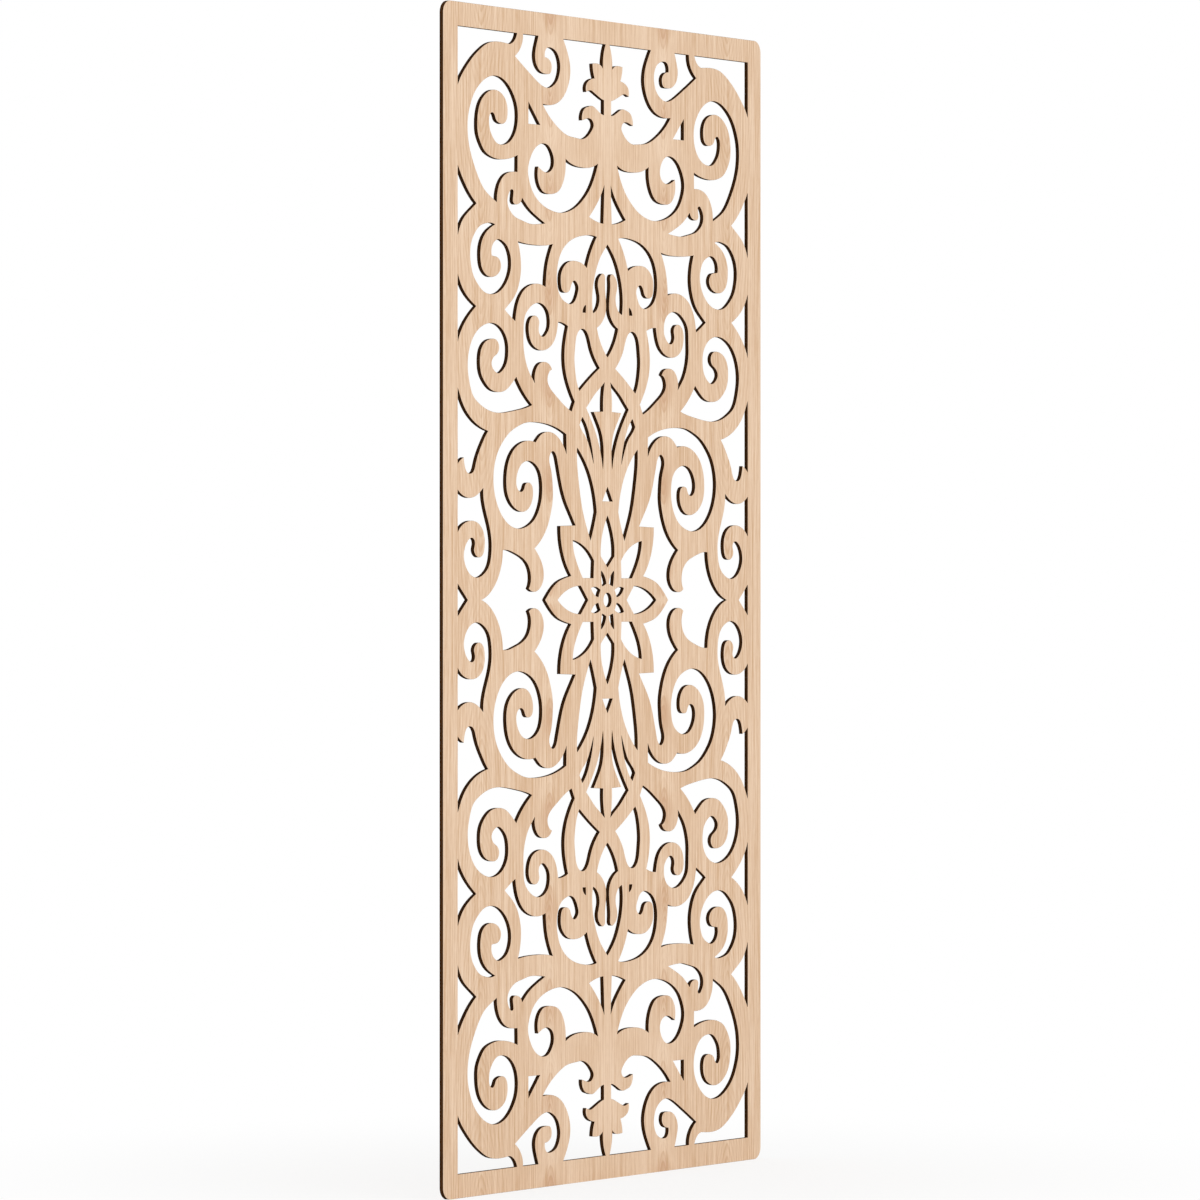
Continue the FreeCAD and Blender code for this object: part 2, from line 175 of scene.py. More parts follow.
def fairHandles(points):
    # handles that carry the curve smoothly through the points and keep the real corners
    stepIn = points - np.roll(points, 1, axis=0)
    stepOut = np.roll(points, -1, axis=0) - points
    lengthIn = np.linalg.norm(stepIn, axis=1, keepdims=True)
    lengthOut = np.linalg.norm(stepOut, axis=1, keepdims=True)
    chordIn, chordOut = stepIn / lengthIn, stepOut / lengthOut
    tangent = chordIn * lengthOut + chordOut * lengthIn
    tangent = tangent / np.linalg.norm(tangent, axis=1, keepdims=True)
    tangent = np.where(lengthIn > lengthOut * outlineLook["longRun"], chordIn, tangent)
    tangent = np.where(lengthOut > lengthIn * outlineLook["longRun"], chordOut, tangent)
    turn = np.arccos(np.clip((chordIn * chordOut).sum(1), -1, 1))
    corner = turn > outlineLook["cornerTurn"]
    # each side of a corner bends on as an arc would, and is straight between two corners
    before, after = np.roll(tangent, 1, axis=0), np.roll(tangent, -1, axis=0)
    arcIn = 2 * (chordIn * before).sum(1, keepdims=True) * chordIn - before
    arcOut = 2 * (chordOut * after).sum(1, keepdims=True) * chordOut - after
    endIn = np.where(np.roll(corner, 1)[:, None], chordIn, arcIn)
    endOut = np.where(np.roll(corner, -1)[:, None], chordOut, arcOut)
    tangentIn = np.where(corner[:, None], endIn, tangent)
    tangentOut = np.where(corner[:, None], endOut, tangent)
    # a handle is a third as long as its run
    return points - tangentIn * lengthIn / 3, points + tangentOut * lengthOut / 3


def drawOutline(nodeName):
    outline = bpy.data.curves.new(nodeName + "Outline", "CURVE")
    outline.dimensions = "3D"
    outline.resolution_u = outlineLook["stepsPerRun"]
    for points in traceLoops(nodeName):
        left, right = fairHandles(points)
        spline = outline.splines.new("BEZIER")
        spline.bezier_points.add(len(points) - 1)
        spline.use_cyclic_u = True
        for name, flat in (("co", points), ("handle_left", left), ("handle_right", right)):
            spline.bezier_points.foreach_set(name, np.insert(flat, 2, 0.0, axis=1).ravel())
    holder = bpy.data.objects.new(outline.name, outline)
    bpy.context.scene.collection.objects.link(holder)
    return holder


# Cut layer: an outline filled, given its thickness, and its rims eased except along the splices

layerLook = {
    "mergeReach": 0.000002,            # metres, joins the wall's rims to the faces
    "sharpEdge": math.radians(32),     # an edge that turns further than this stays crisp
}


def keepValue(tree, geometry, name, value, kind, domain="POINT"):
    inputs = {"Geometry": geometry, "Name": name, "Value": value}
    kept = addNode(tree, "GeometryNodeStoreNamedAttribute", inputs, data_type=kind, domain=domain)
    return kept.outputs[0]


def keptValue(tree, name, kind):
    return addNode(tree, "GeometryNodeInputNamedAttribute", {"Name": name}, data_type=kind).outputs[0]


def buildLayerTree(look):
    tree = bpy.data.node_groups.new("cutLayer", "GeometryNodeTree")
    sockets = tree.interface
    sockets.new_socket("Geometry", in_out="OUTPUT", socket_type="NodeSocketGeometry")
    sockets.new_socket("Outline", in_out="INPUT", socket_type="NodeSocketGeometry")
    for name in ("Front", "Thickness", "Front Ease", "Back Ease", "Splice Reach"):
        sockets.new_socket(name, in_out="INPUT", socket_type="NodeSocketFloat")
    for name in ("Face Material", "Cut Material"):
        sockets.new_socket(name, in_out="INPUT", socket_type="NodeSocketMaterial")
    given = tree.nodes.new("NodeGroupInput").outputs
    drawn = addNode(tree, "GeometryNodeResampleCurve", {"Curve": given["Outline"]}, mode="EVALUATED")
    level = addNode(tree, "GeometryNodeSetCurveNormal", {"Curve": drawn.outputs[0]}, mode="Z_UP")

    # way into the wood at each point, nothing on the centre lines where leaves are spliced
    place = onAxes(tree, addNode(tree, "GeometryNodeInputPosition").outputs[0])
    nearAxis = calc(tree, "MINIMUM", *[calc(tree, "ABSOLUTE", place[axis]) for axis in (0, 1)])
    freeRim = calc(tree, "GREATER_THAN", nearAxis, given["Splice Reach"])
    outOfWood = addNode(tree, "GeometryNodeInputNormal").outputs[0]
    intoWood = scaled(tree, outOfWood, calc(tree, "MULTIPLY", freeRim, -1.0))
    path = keepValue(tree, level.outputs[0], "intoWood", intoWood, "FLOAT_VECTOR")
    inward = keptValue(tree, "intoWood", "FLOAT_VECTOR")

    # the wall is a four-point section carried along the outline, its first and last rows drawn in
    wallEnd = calc(tree, "SUBTRACT", given["Thickness"], given["Back Ease"])
    rows = [fromAxes(tree, {"Y": depth})
            for depth in (0.0, given["Front Ease"], wallEnd, given["Thickness"])]
    section = addNode(tree, "GeometryNodeCurvePrimitiveQuadrilateral", {
        f"Point {index}": row for index, row in enumerate(rows, start=1)}, mode="POINTS")
    openSection = addNode(tree, "GeometryNodeSetSplineCyclic", {
        "Geometry": section.outputs[0], "Cyclic": False})
    rowNumber = addNode(tree, "GeometryNodeInputIndex").outputs[0]
    halfRow = 0.5
    frontRow = calc(tree, "COMPARE", rowNumber, 0.0, halfRow)
    backRow = calc(tree, "COMPARE", rowNumber, len(rows) - 1.0, halfRow)
    backDrawn = calc(tree, "MULTIPLY", backRow, given["Back Ease"])
    rowEase = calc(tree, "MULTIPLY_ADD", frontRow, given["Front Ease"], backDrawn)
    easedSection = keepValue(tree, openSection.outputs[0], "rowEase", rowEase, "FLOAT")
    wall = addNode(tree, "GeometryNodeCurveToMesh", {"Curve": path, "Profile Curve": easedSection})
    rimShift = scaled(tree, inward, keptValue(tree, "rowEase", "FLOAT"))
    easedWall = addNode(tree, "GeometryNodeSetPosition", {
        "Geometry": wall.outputs[0], "Offset": rimShift})
    cutWall = keepValue(tree, easedWall.outputs[0], "cut", True, "BOOLEAN", "FACE")

    # the two faces are the outline drawn in by the same ease
    faces = []
    for ease in (given["Front Ease"], given["Back Ease"]):
        shift = scaled(tree, inward, ease)
        drawnIn = addNode(tree, "GeometryNodeSetPosition", {"Geometry": path, "Offset": shift})
        filled = addNode(tree, "GeometryNodeFillCurve", {"Curve": drawnIn.outputs[0]}, mode="TRIANGLES")
        faces.append(filled.outputs[0])
    behind = fromAxes(tree, {"Z": calc(tree, "MULTIPLY", given["Thickness"], -1.0)})
    backFace = addNode(tree, "GeometryNodeTransform", {"Geometry": faces[1], "Translation": behind})
    turnedBack = addNode(tree, "GeometryNodeFlipFaces", {"Mesh": backFace.outputs[0]})
    together = addNode(tree, "GeometryNodeJoinGeometry")
    for part in (cutWall, faces[0], turnedBack.outputs[0]):
        tree.links.new(part, together.inputs[0])
    closed = addNode(tree, "GeometryNodeMergeByDistance", {
        "Geometry": together.outputs[0], "Distance": look["mergeReach"]})

    # drawn lying flat, so it is stood up with its front towards -Y
    stood = addNode(tree, "GeometryNodeTransform", {
        "Geometry": closed.outputs[0], "Translation": fromAxes(tree, {"Y": given["Front"]}),
        "Rotation": (quarterTurn, 0.0, 0.0)})
    solid = addNode(tree, "GeometryNodeRealizeInstances", {"Geometry": stood.outputs[0]})
    faced = addNode(tree, "GeometryNodeSetMaterial", {
        "Geometry": solid.outputs[0], "Material": given["Face Material"]})
    finished = addNode(tree, "GeometryNodeSetMaterial", {
        "Geometry": faced.outputs[0], "Selection": keptValue(tree, "cut", "BOOLEAN"),
        "Material": given["Cut Material"]})
    result = tree.nodes.new("NodeGroupOutput")
    tree.links.new(finished.outputs[0], result.inputs[0])
    return tree


def cutLayer(tree, nodeName, look, faceMaterial, cutMaterial):
    holder = drawOutline(nodeName)
    low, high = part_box(nodeName)
    sizes = {
        "Front": low.y, "Thickness": high.y - low.y, "Splice Reach": look["spliceReach"],
        "Front Ease": look["frontEase"], "Back Ease": look["backEase"],
        "Face Material": faceMaterial, "Cut Material": cutMaterial,
    }
    modifier = holder.modifiers.new("cutLayer", "NODES")
    modifier.node_group = tree
    for item in tree.interface.items_tree:
        if item.name in sizes:
            modifier[item.identifier] = sizes[item.name]
    bpy.context.view_layer.update()
    evaluated = holder.evaluated_get(bpy.context.evaluated_depsgraph_get())
    mesh = bpy.data.meshes.new_from_object(evaluated)
    holder.modifiers.remove(modifier)
    bpy.data.objects.remove(holder)
    for name in ("cut", "rowEase", "intoWood"):
        mesh.attributes.remove(mesh.attributes[name])
    mesh.shade_smooth()
    mesh.set_sharp_from_angle(angle=layerLook["sharpEdge"])
    words = nodeName.split("_")
    piece = bpy.data.objects.new(words[0] + "".join(word.title() for word in words[1:]), mesh)
    bpy.context.scene.collection.objects.link(piece)
    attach(piece, "root")
    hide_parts(nodeName)
    print("layer:", piece.name, "with", len(mesh.polygons), "faces")


# Effects that several finishes share

def newGroup(name, inputs, outputs):
    tree = bpy.data.node_groups.new(name, "ShaderNodeTree")
    for label, value in inputs.items():
        kind = "NodeSocketVector" if label == "Vector" else "NodeSocketFloat"
        socket = tree.interface.new_socket(label, in_out="INPUT", socket_type=kind)
        if kind == "NodeSocketFloat":
            socket.default_value = value
    for label in outputs:
        tree.interface.new_socket(label, in_out="OUTPUT", socket_type="NodeSocketFloat")
    return tree, tree.nodes.new("NodeGroupInput").outputs, tree.nodes.new("NodeGroupOutput").inputs


def noiseSwing(tree, vector, stretch, detail=2.0):
    # noise that swings about zero
    return calc(tree, "SUBTRACT", noise(tree, vector, stretch, detail), noiseMiddle)


def nearHeart(tree, square, width):
    # 1 on the heart line, falling away to both sides, from the squared distance
    spread = calc(tree, "MULTIPLY", width, width)
    return calc(tree, "EXPONENT", calc(tree, "DIVIDE", square, calc(tree, "MULTIPLY", spread, -1.0)))


def ownStrength(tree, number, weakest):
    # no two rings or flames are equally strong
    chance = addNode(tree, "ShaderNodeTexWhiteNoise", {"W": number}, noise_dimensions="1D").outputs[0]
    return calc(tree, "MULTIPLY_ADD", chance, 1.0 - weakest, weakest)


fibreRoughness = 0.6    # of the noise, a higher one frays the fibres more
fibreLook = {
    # width in metres, length in widths, and the noise levels where the fibre begins and is full
    "Bands": {"width": 0.009, "length": 45.0, "begins": 0.3, "full": 0.7},
    "Streaks": {"width": 0.0023, "length": 75.0, "begins": 0.36, "full": 0.64},
    "Flecks": {"width": 0.0024, "length": 8.0, "begins": 0.36, "full": 0.64},
    "Pores": {"width": 0.0004, "length": 16.0, "begins": 0.60, "full": 0.72},
}


def buildFibres(look):
    # upright fibres, X across the grain and Z along: slow bands, crisp fine streaks, flecks and pores
    widths = {"Width of " + label: fibre["width"] for label, fibre in look.items()}
    tree, given, result = newGroup("woodFibres", {"Vector": None, **widths}, list(look))
    for label, fibre in look.items():
        across = calc(tree, "DIVIDE", 1.0, given["Width of " + label])
        along = calc(tree, "DIVIDE", across, fibre["length"])
        stretch = fromAxes(tree, {"X": across, "Z": along})
        level = noise(tree, given["Vector"], stretch, roughness=fibreRoughness)
        tree.links.new(mapRange(tree, level, fibre["begins"], fibre["full"]), result[label])
    return tree


ringLook = {
    "driftStretch": (0.0, 0.0, 7.0), "rippleStretch": (30.0, 0.0, 9.0), "rippleDetail": 3.0,
    "darkens": (0.25, 0.85),    # shares of a ring between which it darkens slowly
    "ends": (1.0, 0.88),        # and between which it ends sharply
    "weakest": 0.3,
}


def buildRings(look):
    # growth rings of a flat-cut leaf: vees along its heart line that run out into upright lines
    tree, given, result = newGroup("growthRings", {
        "Vector": None, "Heart": 0.0, "Heart Width": 0.06, "Depth": 0.003, "Rise": 0.6,
        "Turn Length": 0.16, "Turn Start": 0.0, "Spacing": 0.013, "Waver": 0.008},
        ["Rings", "Heartwood"])
    place = onAxes(tree, given["Vector"])
    drift = noiseSwing(tree, given["Vector"], look["driftStretch"])
    ripple = noiseSwing(tree, given["Vector"], look["rippleStretch"], look["rippleDetail"])
    # drift swings by a half each way, so the heart line sways by the whole waver
    sway = calc(tree, "MULTIPLY", given["Waver"], 2.0)
    heartLine = calc(tree, "MULTIPLY_ADD", drift, sway, given["Heart"])
    fromHeart = calc(tree, "SUBTRACT", place[0], heartLine)
    square = calc(tree, "MULTIPLY", fromHeart, fromHeart)
    heartwood = nearHeart(tree, square, given["Heart Width"])
    turns = calc(tree, "DIVIDE", calc(tree, "ADD", place[2], given["Turn Start"]), given["Turn Length"])
    turn = calc(tree, "FRACT", turns)
    climb = calc(tree, "MULTIPLY", calc(tree, "MULTIPLY", turn, given["Turn Length"]), given["Rise"])
    radius = calc(tree, "SQRT", calc(tree, "MULTIPLY_ADD", given["Depth"], given["Depth"], square))
    opened = calc(tree, "SUBTRACT", radius, calc(tree, "MULTIPLY", climb, heartwood))
    rippled = calc(tree, "MULTIPLY_ADD", ripple, given["Waver"], opened)
    count = calc(tree, "DIVIDE", rippled, given["Spacing"])
    share = calc(tree, "FRACT", count)
    darkening = mapRange(tree, share, *look["darkens"], kind="SMOOTHSTEP")
    ending = mapRange(tree, share, *look["ends"], kind="SMOOTHSTEP")
    strength = ownStrength(tree, calc(tree, "FLOOR", count), look["weakest"])
    line = calc(tree, "MULTIPLY", calc(tree, "MULTIPLY", darkening, ending), strength)
    # the vees fade where one turn ends and the next begins
    fade = calc(tree, "SINE", calc(tree, "MULTIPLY", turn, math.pi))
    tree.links.new(line, result["Rings"])
    tree.links.new(calc(tree, "MULTIPLY", heartwood, fade), result["Heartwood"])
    return tree


flameLook = {
    "rippleStretch": (60.0, 0.0, 14.0), "rippleDetail": 3.0,
    "weakest": 0.4, "steepness": 0.4,
}


def buildFlames(look):
    # flame figure: slow sagging waves up a heart line, each dark and rosy above and pale below
    tree, given, result = newGroup("flameFigure", {
        "Vector": None, "Heart": 0.0, "Heart Width": 0.022, "Period": 0.145, "Start": 0.0, "Sag": 40.0,
        "Waver": 0.02}, ["Shade"])
    place = onAxes(tree, given["Vector"])
    ripple = noiseSwing(tree, given["Vector"], look["rippleStretch"], look["rippleDetail"])
    aside = calc(tree, "SUBTRACT", place[0], given["Heart"])
    fromHeart = calc(tree, "MULTIPLY_ADD", ripple, given["Waver"], aside)
    square = calc(tree, "MULTIPLY", fromHeart, fromHeart)
    sagging = calc(tree, "MULTIPLY_ADD", square, given["Sag"], given["Start"])
    level = calc(tree, "SUBTRACT", place[2], sagging)
    rippled = calc(tree, "MULTIPLY_ADD", ripple, given["Waver"], level)
    count = calc(tree, "DIVIDE", rippled, given["Period"])
    own = ownStrength(tree, calc(tree, "ROUND", count), look["weakest"])
    strength = calc(tree, "MULTIPLY", own, nearHeart(tree, square, given["Heart Width"]))
    # a second wave, twice as quick, makes each flame steep on one side
    turn = calc(tree, "MULTIPLY", count, 2 * math.pi)
    steep = calc(tree, "SINE", calc(tree, "MULTIPLY", turn, 2.0))
    wave = calc(tree, "MULTIPLY_ADD", steep, look["steepness"], calc(tree, "SINE", turn))
    tree.links.new(calc(tree, "MULTIPLY", wave, strength), result["Shade"])
    return tree


charLook = {
    "throughStretch": 0.05,    # as a share of the stretch along the cut
    "striationDetail": 3.0, "striationRoughness": 0.6, "patchStretch": (28.0, 40.0, 28.0),
    # how far each of them moves the burn
    "patches": 0.9, "striations": 0.9, "endGrain": 0.25,
}


def buildChar(look):
    # laser-burnt cut: striations straight through the sheet, sooty patches, darker end grain
    tree, given, result = newGroup("laserChar", {
        "Vector": None, "End Grain": 0.0, "Striation": 0.0008}, ["Burn", "Height"])
    across = calc(tree, "DIVIDE", 1.0, given["Striation"])
    through = calc(tree, "MULTIPLY", across, look["throughStretch"])
    stretch = fromAxes(tree, {"X": across, "Y": through, "Z": across})
    striations = noise(
        tree, given["Vector"], stretch, look["striationDetail"], look["striationRoughness"])
    patches = noise(tree, given["Vector"], look["patchStretch"])
    burn = sumEffects(tree, noiseMiddle, (
        (patches, noiseMiddle, look["patches"]),
        (striations, noiseMiddle, look["striations"]),
        (given["End Grain"], 0.0, look["endGrain"])))
    tree.links.new(calc(tree, "MINIMUM", calc(tree, "MAXIMUM", burn, 0.0), 1.0), result["Burn"])
    tree.links.new(striations, result["Height"])
    return tree


fibres = buildFibres(fibreLook)
rings = buildRings(ringLook)
flames = buildFlames(flameLook)
laserChar = buildChar(charLook)
print("effects: fibres, growth rings, flames and laser char ready")


# Steps that several finishes share

def newMaterial(name, roughness, specular):
    material = bpy.data.materials.new(name)
    material.use_nodes = True
    shader = material.node_tree.nodes["Principled BSDF"]
    shader.inputs["Roughness"].default_value = roughness
    shader.inputs["Specular IOR Level"].default_value = specular
    return material, material.node_tree, shader


def objectPlace(tree):
    return addNode(tree, "ShaderNodeTexCoord").outputs["Object"]


def useGroup(tree, group, inputs):
    return addNode(tree, "ShaderNodeGroup", inputs, node_tree=group).outputs


def setColour(tree, shader, factor, first, second):
    tree.links.new(mixColour(tree, factor, first, second), shader.inputs["Base Color"])


def varyRoughness(tree, shader, effect, change):
    # the surface grows rougher, or smoother where change is negative, with the effect
    roughness = shader.inputs["Roughness"]
    tree.links.new(calc(tree, "MULTIPLY_ADD", effect, change, roughness.default_value), roughness)


def addBump(tree, shader, height, strength, depth):
    inputs = {"Strength": strength, "Distance": depth, "Height": height}
    tree.links.new(addNode(tree, "ShaderNodeBump", inputs).outputs[0], shader.inputs["Normal"])


# Show face: four leaves matched about both centre lines

faceLeaf = {
    "slot": "show_veneer", "frontEase": 0.00025, "backEase": 0.0, "spliceReach": 0.00001,
    "pale": toLinear(241, 213, 185), "brown": toLinear(213, 175, 138), "rose": toLinear(210, 166, 137),
    "roughness": 0.63, "polish": -0.12, "specular": 0.18,
    "grainBump": 0.5, "grainDepth": 0.00006, "poreDent": -0.6,
    # heart lines of the figure, in metres from the centre lines
    "veeRings": {"Heart": 0.349, "Turn Start": 0.02},
    "flameRings": {
        "Heart": 0.161, "Heart Width": 0.024, "Depth": 0.007, "Rise": 0.9,
        "Turn Length": 0.145, "Turn Start": 0.05, "Spacing": 0.014, "Waver": 0.012,
    },
    "flameShade": {"Heart": 0.161, "Start": 0.88},
    "cloudStretch": (14.0, 0.0, 2.0),
    # how far each effect moves the tone from pale to brown
    "plainTone": 0.45, "clouds": 0.9, "bands": 0.18, "streaks": 0.95, "flecks": 0.25, "pores": 0.14,
    "lines": 0.14, "lineMiddle": 0.2, "vees": 0.6, "flames": 0.7, "shade": 0.42,
    # how far the flames move it on to rose
    "flameBlush": 0.4, "shadeBlush": 0.3,
}


def showVeneerMaterial(look):
    material, tree, shader = newMaterial("showVeneer", look["roughness"], look["specular"])
    place = onAxes(tree, objectPlace(tree))
    # folded on both centre lines, as the leaves are matched
    folded = fromAxes(tree, {
        "X": calc(tree, "ABSOLUTE", place[0]), "Z": calc(tree, "ABSOLUTE", place[2])})
    grain = useGroup(tree, fibres, {"Vector": folded})
    veeRings = useGroup(tree, rings, {"Vector": folded, **look["veeRings"]})
    flameRings = useGroup(tree, rings, {"Vector": folded, **look["flameRings"]})
    shade = useGroup(tree, flames, {"Vector": folded, **look["flameShade"]})["Shade"]
    clouds = noise(tree, folded, look["cloudStretch"])
    vee = calc(tree, "MULTIPLY", veeRings["Rings"], veeRings["Heartwood"])
    flame = calc(tree, "MULTIPLY", flameRings["Rings"], flameRings["Heartwood"])
    tone = sumEffects(tree, look["plainTone"], (
        (clouds, noiseMiddle, look["clouds"]),
        (grain["Bands"], noiseMiddle, look["bands"]),
        (grain["Streaks"], noiseMiddle, look["streaks"]),
        (grain["Flecks"], noiseMiddle, look["flecks"]),
        (grain["Pores"], 0.0, look["pores"]),
        (veeRings["Rings"], look["lineMiddle"], look["lines"]),
        (vee, 0.0, look["vees"]),
        (flame, 0.0, look["flames"]),
        (shade, 0.0, look["shade"])))
    wood = mixColour(tree, tone, look["pale"], look["brown"])
    blush = sumEffects(tree, 0.0, (
        (shade, 0.0, look["shadeBlush"]),
        (flame, 0.0, look["flameBlush"])))
    setColour(tree, shader, blush, wood, look["rose"])
    height = calc(tree, "MULTIPLY_ADD", grain["Pores"], look["poreDent"], grain["Streaks"])
    varyRoughness(tree, shader, height, look["polish"])
    addBump(tree, shader, height, look["grainBump"], look["grainDepth"])
    return material


# Cut walls: every ply burns to its own brown, end grain darkest

charred = {
    "roughness": 0.86, "sootRoughness": 0.12, "specular": 0.02,
    "striation": 0.0008, "striationBump": 0.6, "striationDepth": 0.0001,
    "paintedShadeEdgeReach": 0.02, "paintedShadeEdgeLift": -0.2,    # metres in from the outer edge, and what it adds to the burn there: the outer edge is spared the painted shade put on the walls of the openings
}
veneerCut = {**charred, "grainAxis": 2, "singed": toLinear(97, 62, 32), "soot": toLinear(40, 23, 9)}


def charMaterial(name, look):
    material, tree, shader = newMaterial(name, look["roughness"], look["specular"])
    source = addNode(tree, "ShaderNodeTexCoord").outputs
    facing = onAxes(tree, source["Normal"])
    place = onAxes(tree, source["Object"])
    burnt = useGroup(tree, laserChar, {
        "Vector": source["Object"], "Striation": look["striation"],
        "End Grain": calc(tree, "ABSOLUTE", facing[look["grainAxis"]])})
    # painted shade: the walls in the openings are painted darker than the outer edge, standing in for
    # the shade that falls into them
    edgesOutOfShade = []
    for axis in (0, 2):
        edgeStart = cadHigh[axis] - look["paintedShadeEdgeReach"]
        edgesOutOfShade.append(calc(tree, "GREATER_THAN", calc(tree, "ABSOLUTE", place[axis]), edgeStart))
    outOfPaintedShade = calc(tree, "MAXIMUM", *edgesOutOfShade)
    # soot holds the char together with the painted shade, which is taken off along the outer edge
    soot = calc(tree, "MULTIPLY_ADD", outOfPaintedShade, look["paintedShadeEdgeLift"], burnt["Burn"])
    setColour(tree, shader, soot, look["singed"], look["soot"])
    varyRoughness(tree, shader, burnt["Burn"], look["sootRoughness"])
    addBump(tree, shader, burnt["Height"], look["striationBump"], look["striationDepth"])
    return material


# Inner plies

wholeSheet = {"spliceReach": -1.0}    # no rim is nearer to a centre line than this, so all are free
hiddenLayer = {**charred, **wholeSheet, "frontEase": 0.0, "backEase": 0.0}
innerPly = {
    **hiddenLayer, "faceRoughness": 0.75, "facePolish": -0.1, "faceSpecular": 0.2,
    "fibreWidths": {"Width of Bands": 0.03, "Width of Streaks": 0.005}, "bands": 0.5, "streaks": 0.6,
}
crossband = {
    **innerPly, "slot": "crossband", "grainAxis": 0,
    "singed": toLinear(69, 42, 20), "soot": toLinear(27, 14, 5),
    "pale": toLinear(222, 194, 160), "brown": toLinear(196, 163, 126),
}
core = {
    **innerPly, "slot": "core", "grainAxis": 2,
    "singed": toLinear(91, 58, 30), "soot": toLinear(38, 22, 9),
    "pale": toLinear(220, 190, 154), "brown": toLinear(190, 155, 118),
}


def innerFaceMaterial(name, look):
    # peeled face of an inner ply, out of sight once the sheet is glued up
    material, tree, shader = newMaterial(name, look["faceRoughness"], look["faceSpecular"])
    place = onAxes(tree, objectPlace(tree))
    along = place[look["grainAxis"]]
    across = place[2 - look["grainAxis"]]
    turned = fromAxes(tree, {"X": across, "Z": along})
    grain = useGroup(tree, fibres, {"Vector": turned, **look["fibreWidths"]})
    tone = sumEffects(tree, 0.0, (
        (grain["Bands"], 0.0, look["bands"]),
        (grain["Streaks"], 0.0, look["streaks"])))
    setColour(tree, shader, tone, look["pale"], look["brown"])
    varyRoughness(tree, shader, grain["Streaks"], look["facePolish"])
    return material


# Glue lines

glueLine = {
    **hiddenLayer, "slot": "glue", "grainAxis": 1,
    "singed": toLinear(40, 24, 12), "soot": toLinear(19, 11, 6),
    "film": toLinear(150, 104, 62), "thick": toLinear(104, 66, 38),
    "faceRoughness": 0.7, "facePolish": -0.2, "faceSpecular": 0.3,
    "spreadStretch": (60.0, 60.0, 60.0), "spreadDetail": 4.0,
}


def glueFilmMaterial(look):
    material, tree, shader = newMaterial("glueFilm", look["faceRoughness"], look["faceSpecular"])
    spread = noise(tree, objectPlace(tree), look["spreadStretch"], look["spreadDetail"])
    setColour(tree, shader, spread, look["film"], look["thick"])
    varyRoughness(tree, shader, spread, look["facePolish"])
    return material


# Back sheet: one rotary-cut veneer with a broad wandering figure

backSheet = {
    **wholeSheet, "slot": "back_veneer", "frontEase": 0.0, "backEase": 0.00015,
    "pale": toLinear(230, 201, 169), "brown": toLinear(197, 160, 122),
    "roughness": 0.67, "polish": -0.1, "specular": 0.2, "grainBump": 0.5, "grainDepth": 0.00006,
    "fibreWidths": {"Width of Bands": 0.05, "Width of Streaks": 0.004},
    "broadRings": {
        "Heart": -0.09, "Heart Width": 0.3, "Depth": 0.03, "Rise": 0.3,
        "Turn Length": 2.4, "Turn Start": 1.2, "Spacing": 0.032, "Waver": 0.09,
    },
    # how far each effect moves the tone from pale to brown
    "plainTone": 0.4, "bands": 0.3, "streaks": 0.25, "rings": 0.32, "pores": 0.12,
}


def backVeneerMaterial(look):
    material, tree, shader = newMaterial("backVeneer", look["roughness"], look["specular"])
    place = objectPlace(tree)
    grain = useGroup(tree, fibres, {"Vector": place, **look["fibreWidths"]})
    broad = useGroup(tree, rings, {"Vector": place, **look["broadRings"]})
    tone = sumEffects(tree, look["plainTone"], (
        (grain["Bands"], noiseMiddle, look["bands"]),
        (grain["Streaks"], noiseMiddle, look["streaks"]),
        (broad["Rings"], 0.0, look["rings"]),
        (grain["Pores"], 0.0, look["pores"])))
    setColour(tree, shader, tone, look["pale"], look["brown"])
    varyRoughness(tree, shader, grain["Streaks"], look["polish"])
    addBump(tree, shader, grain["Streaks"], look["grainBump"], look["grainDepth"])
    return material


# Layers, the four show leaves first

showVeneer = showVeneerMaterial(faceLeaf)
charredVeneer = charMaterial("charredVeneer", veneerCut)
glueFilm = glueFilmMaterial(glueLine)
charredGlue = charMaterial("charredGlue", glueLine)
crossbandFace = innerFaceMaterial("crossbandFace", crossband)
charredCrossband = charMaterial("charredCrossband", crossband)
coreFace = innerFaceMaterial("coreFace", core)
charredCore = charMaterial("charredCore", core)
backVeneer = backVeneerMaterial(backSheet)
print("finishes: ready")

layerTree = buildLayerTree(layerLook)
for quarter in ("upper_left", "upper_right", "lower_left", "lower_right"):
    cutLayer(layerTree, "front_veneer_" + quarter, faceLeaf, showVeneer, charredVeneer)
for side in ("front", "back"):
    cutLayer(layerTree, side + "_face_glue_line", glueLine, glueFilm, charredGlue)
    cutLayer(layerTree, side + "_crossband", crossband, crossbandFace, charredCrossband)
    cutLayer(layerTree, side + "_core_glue_line", glueLine, glueFilm, charredGlue)
cutLayer(layerTree, "core_ply", core, coreFace, charredCore)
cutLayer(layerTree, "back_veneer", backSheet, backVeneer, charredVeneer)


# Camera, set by the panel's edges in the photograph

cameraLook = {
    "place": (-8.549, -5.678, 0.0), "clipEnd": 200.0,    # metres
    "turn": -56.3576,                                    # degrees about the upright axis
    "lens": 196.5, "sensor": 36.0,                       # millimetres
}


def setCamera(look):
    eye = bpy.data.cameras.new("studioCamera")
    eye.sensor_width = look["sensor"]
    eye.lens = look["lens"]
    eye.clip_end = look["clipEnd"]
    camera = bpy.data.objects.new("studioCamera", eye)
    camera.location = look["place"]
    camera.rotation_euler = (quarterTurn, 0.0, math.radians(look["turn"]))
    bpy.context.scene.collection.objects.link(camera)
    bpy.context.scene.camera = camera


# Studio: pale floor that keeps the shadow, white surroundings and one large soft lamp

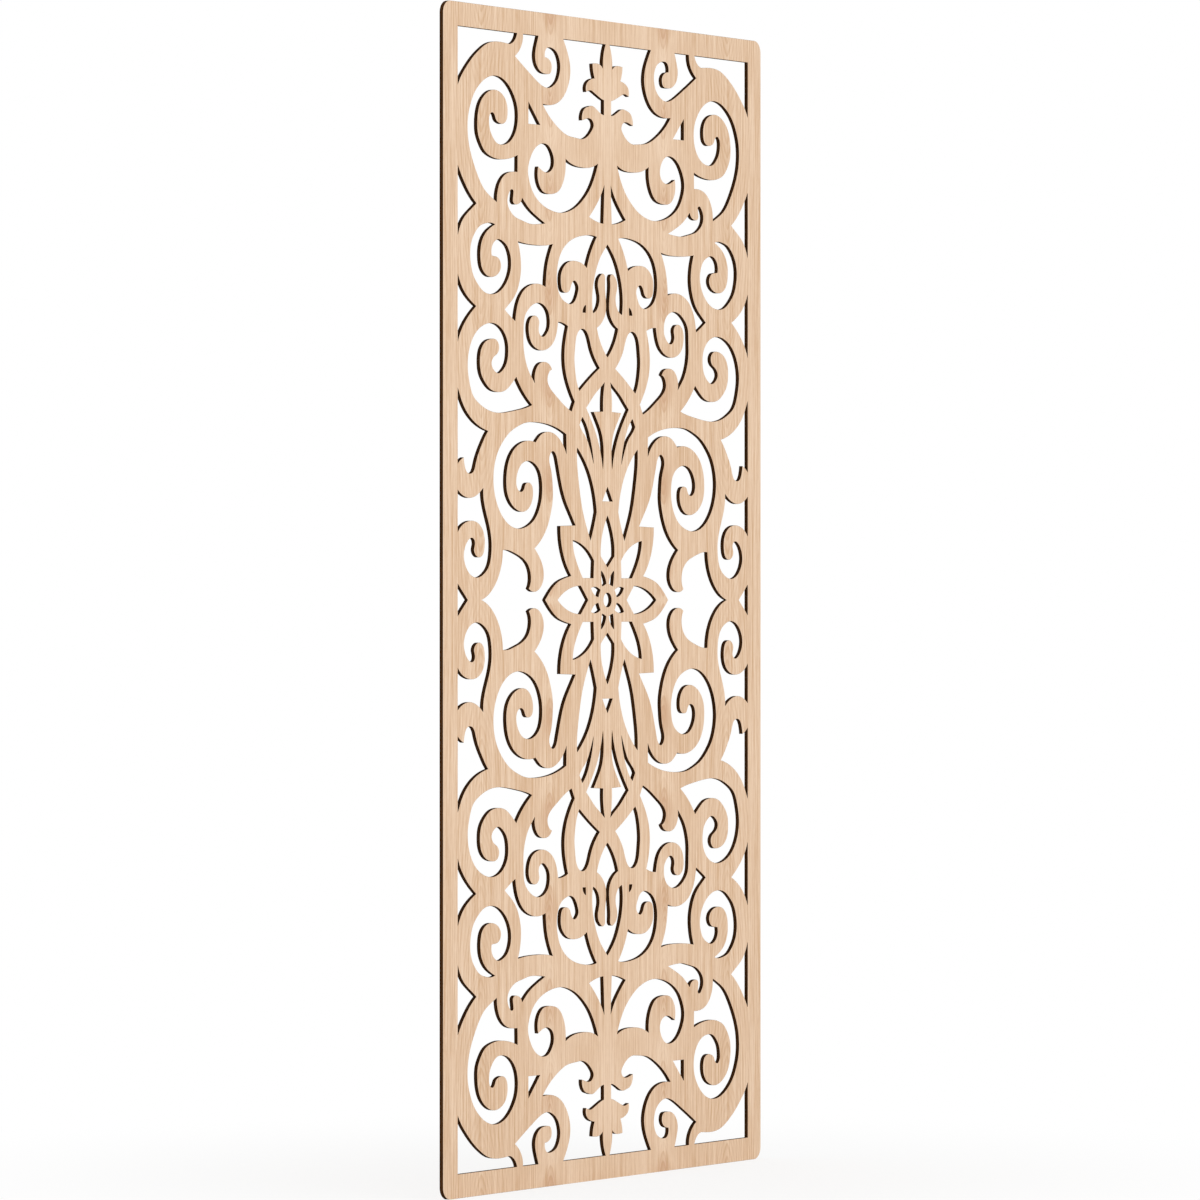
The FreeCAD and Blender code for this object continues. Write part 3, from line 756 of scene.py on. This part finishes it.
studio = {
    "floorReach": 14.0, "floorColour": (0.92, 0.92, 0.92, 1.0),
    # share of plain white near the panel and far from it, and the metres at which they end and start
    "glowNear": 0.78, "glowFar": 1.0, "nearEnds": 0.2, "farStarts": 1.4,
    "roomColour": (1.0, 1.0, 1.0, 1.0), "roomLight": 0.82,
    "lampPlace": (-1.0, -4.8, 0.5), "lampSize": 3.2, "lampPower": 48.0,
}


def backgroundRays(tree):
    # 1 for the rays that see the background, and 0 for those that light the object
    path = addNode(tree, "ShaderNodeLightPath").outputs
    seen = calc(tree, "MAXIMUM", path["Is Camera Ray"], path["Is Glossy Ray"])
    return calc(tree, "MAXIMUM", seen, path["Is Transmission Ray"])


def setFloor(look):
    reach = look["floorReach"]
    mesh = bpy.data.meshes.new("studioFloor")
    corners = [(x * reach, y * reach, cadLow.z) for x, y in ((-1, -1), (1, -1), (1, 1), (-1, 1))]
    mesh.from_pydata(corners, [], [(0, 1, 2, 3)])
    floor = bpy.data.objects.new("studioFloor", mesh)
    bpy.context.scene.collection.objects.link(floor)
    material = bpy.data.materials.new("paleFloor")
    material.use_nodes = True
    tree = material.node_tree
    tree.nodes.remove(tree.nodes["Principled BSDF"])
    matte = addNode(tree, "ShaderNodeBsdfDiffuse", {"Color": look["floorColour"]})
    glow = addNode(tree, "ShaderNodeEmission", {"Strength": 1.0})
    # the floor takes the shadow near the panel and runs out into plain white
    level = stretched(tree, objectPlace(tree), (1.0, 1.0, 0.0))
    away = addNode(tree, "ShaderNodeVectorMath", {0: level}, operation="LENGTH").outputs["Value"]
    whiteness = mapRange(tree, away, look["nearEnds"], look["farStarts"],
                         look["glowNear"], look["glowFar"], "SMOOTHSTEP")
    share = calc(tree, "MULTIPLY", backgroundRays(tree), whiteness)
    blend = addNode(tree, "ShaderNodeMixShader", {0: share, 1: matte.outputs[0], 2: glow.outputs[0]})
    tree.links.new(blend.outputs[0], tree.nodes["Material Output"].inputs["Surface"])
    mesh.materials.append(material)


def setLight(look):
    world = bpy.data.worlds.new("studioRoom")
    world.use_nodes = True
    tree = world.node_tree
    room = tree.nodes["Background"]
    room.inputs["Color"].default_value = look["roomColour"]
    lift = calc(tree, "MULTIPLY_ADD", backgroundRays(tree), 1.0 - look["roomLight"], look["roomLight"])
    tree.links.new(lift, room.inputs["Strength"])
    bpy.context.scene.world = world
    lamp = bpy.data.lights.new("softLamp", "AREA")
    lamp.shape = "DISK"
    lamp.size = look["lampSize"]
    lamp.energy = look["lampPower"]
    holder = bpy.data.objects.new("softLamp", lamp)
    holder.location = look["lampPlace"]
    aim = (cadLow + cadHigh) / 2 - holder.location
    holder.rotation_euler = aim.to_track_quat("-Z", "Y").to_euler()
    bpy.context.scene.collection.objects.link(holder)


setCamera(cameraLook)
setFloor(studio)
setLight(studio)
bpy.context.scene.view_settings.view_transform = "Standard"
print("studio: camera, floor and light set")
